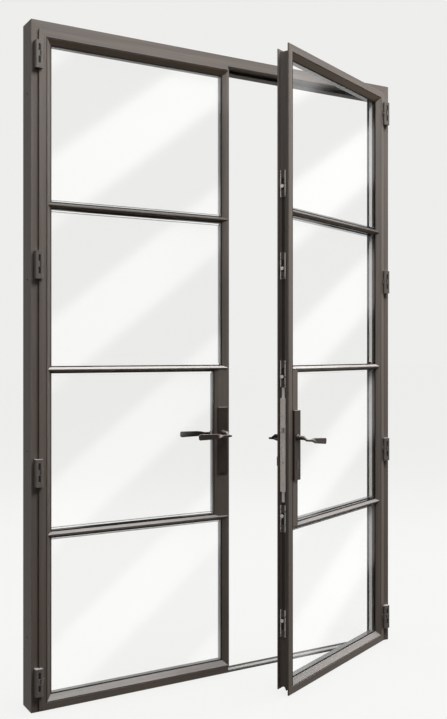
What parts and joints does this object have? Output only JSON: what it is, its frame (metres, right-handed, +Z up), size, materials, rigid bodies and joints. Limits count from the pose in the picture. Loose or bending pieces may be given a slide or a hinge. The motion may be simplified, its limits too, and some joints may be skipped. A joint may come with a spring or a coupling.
{
  "type": "french doors",
  "caption": "Pair of tall glazed metal french doors in a frame: barred double-glazed leaves on side hinges, lever handles, edge lock with rods and cams.",
  "frame": {"origin": "middle of the frame's base, at floor level and mid depth", "axes": "+X to the right seen from the hinge side, +Y away from the viewer, +Z up"},
  "size_m": [1.6, 0.4699, 2.4],
  "materials": {
    "door_metal": "dark bronze, streaked along each member, satin",
    "handle_metal": "dark bronze, satin",
    "hinge_metal": "dark bronze, satin",
    "gear_steel": "zinc plated steel",
    "threshold_metal": "satin metal",
    "glass": "clear double glazing",
    "rubber": "black seal"
  },
  "bodies": {
    "frame": {"frame_seal": "rubber", "head": "door_metal", "left_hinge_frame_halves": "hinge_metal", "left_hinge_pins": "gear_steel", "left_jamb": "door_metal", "right_hinge_frame_halves": "hinge_metal", "right_hinge_pins": "gear_steel", "right_jamb": "door_metal", "threshold": "threshold_metal"},
    "left_leaf": {"left_bottom_rail": "door_metal", "left_bottom_sweep": "rubber", "left_cam_keeps": "gear_steel", "left_front_backplate": "handle_metal", "left_glazing_bars": "door_metal", "left_glazing_gaskets": "rubber", "left_hinge_leaf_halves": "hinge_metal", "left_hinge_stile": "door_metal", "left_lock_box": "door_metal", "left_meeting_stile": "door_metal", "left_pane_1": "glass", "left_pane_2": "glass", "left_pane_3": "glass", "left_pane_4": "glass", "left_rear_backplate": "handle_metal", "left_rear_beads": "door_metal", "left_strike_plate": "gear_steel", "left_top_rail": "door_metal"},
    "right_leaf": {"right_bottom_rail": "door_metal", "right_bottom_sweep": "rubber", "right_cam_guides": "gear_steel", "right_front_backplate": "handle_metal", "right_glazing_bars": "door_metal", "right_glazing_gaskets": "rubber", "right_hinge_leaf_halves": "hinge_metal", "right_hinge_stile": "door_metal", "right_key_cylinder": "gear_steel", "right_lock_box": "door_metal", "right_lock_case": "gear_steel", "right_lock_faceplate": "gear_steel", "right_meeting_stile": "door_metal", "right_pane_1": "glass", "right_pane_2": "glass", "right_pane_3": "glass", "right_pane_4": "glass", "right_rear_backplate": "handle_metal", "right_rear_beads": "door_metal", "right_top_rail": "door_metal"},
    "left_levers": {"left_front_lever": "handle_metal", "left_rear_lever": "handle_metal", "left_spindle": "gear_steel"},
    "right_levers": {"right_front_lever": "handle_metal", "right_rear_lever": "handle_metal", "right_spindle": "gear_steel"},
    "left_upper_bolt": {"left_upper_shoot_bolt": "gear_steel"},
    "left_lower_bolt": {"left_lower_shoot_bolt": "gear_steel"},
    "right_latch": {"right_latch_bolt": "gear_steel"},
    "right_deadbolt": {"right_deadbolt": "gear_steel"},
    "right_turn": {"right_turn_piece": "handle_metal"},
    "right_upper_rod": {"right_upper_drive_rod": "gear_steel"},
    "right_lower_rod": {"right_lower_drive_rod": "gear_steel"}
  },
  "joints": [
    {"name": "left_leaf_swing", "type": "hinge", "parent": "frame", "child": "left_leaf", "pos_m": [-0.7685, -0.059, 1.19], "axis": [0, 0, -1], "range_deg": [0, 100]},
    {"name": "right_leaf_swing", "type": "hinge", "parent": "frame", "child": "right_leaf", "pos_m": [0.7685, -0.059, 1.19], "axis": [0, 0, 1], "range_deg": [-24, 76]},
    {"name": "left_lever_turn", "type": "hinge", "parent": "left_leaf", "child": "left_levers", "pos_m": [-0.035, -0.0205, 0.935], "axis": [0, -1, 0], "range_deg": [0, 90]},
    {"name": "left_upper_bolt_slide", "type": "slide", "parent": "left_leaf", "child": "left_upper_bolt", "axis": [0, 0, 1], "range_m": [0, 0.02]},
    {"name": "left_lower_bolt_slide", "type": "slide", "parent": "left_leaf", "child": "left_lower_bolt", "axis": [0, 0, -1], "range_m": [0, 0.02]},
    {"name": "right_lever_turn", "type": "hinge", "parent": "right_leaf", "child": "right_levers", "pos_m": [0.08712, -0.3246, 0.935], "axis": [-0.4067, 0.9135, 0], "range_deg": [0, 45], "stiffness_Nm_per_rad": 1.2, "springref_deg": -28.65},
    {"name": "right_latch_slide", "type": "slide", "parent": "right_leaf", "child": "right_latch", "axis": [0.9135, 0.4067, 0], "range_m": [0, 0.009]},
    {"name": "right_turn_piece_turn", "type": "hinge", "parent": "right_leaf", "child": "right_turn", "pos_m": [0.08712, -0.3246, 0.843], "axis": [-0.4067, 0.9135, 0], "range_deg": [0, 90]},
    {"name": "right_deadbolt_slide", "type": "slide", "parent": "right_leaf", "child": "right_deadbolt", "axis": [-0.9135, -0.4067, 0], "range_m": [0, 0.014]},
    {"name": "right_upper_rod_slide", "type": "slide", "parent": "right_leaf", "child": "right_upper_rod", "axis": [0, 0, 1], "range_m": [0, 0.02]},
    {"name": "right_lower_rod_slide", "type": "slide", "parent": "right_leaf", "child": "right_lower_rod", "axis": [0, 0, -1], "range_m": [0, 0.02]}
  ],
  "couplings": [
    {"joint": "left_upper_bolt_slide", "follows": "left_lever_turn", "m_per_rad": 0.012732},
    {"joint": "left_lower_bolt_slide", "follows": "left_lever_turn", "m_per_rad": 0.012732},
    {"joint": "right_latch_slide", "follows": "right_lever_turn", "m_per_rad": 0.011459},
    {"joint": "right_turn_piece_turn", "follows": "right_upper_rod_slide", "rad_per_m": 78.54},
    {"joint": "right_deadbolt_slide", "follows": "right_upper_rod_slide", "ratio": 0.7},
    {"joint": "right_lower_rod_slide", "follows": "right_upper_rod_slide", "ratio": 1}
  ]
}
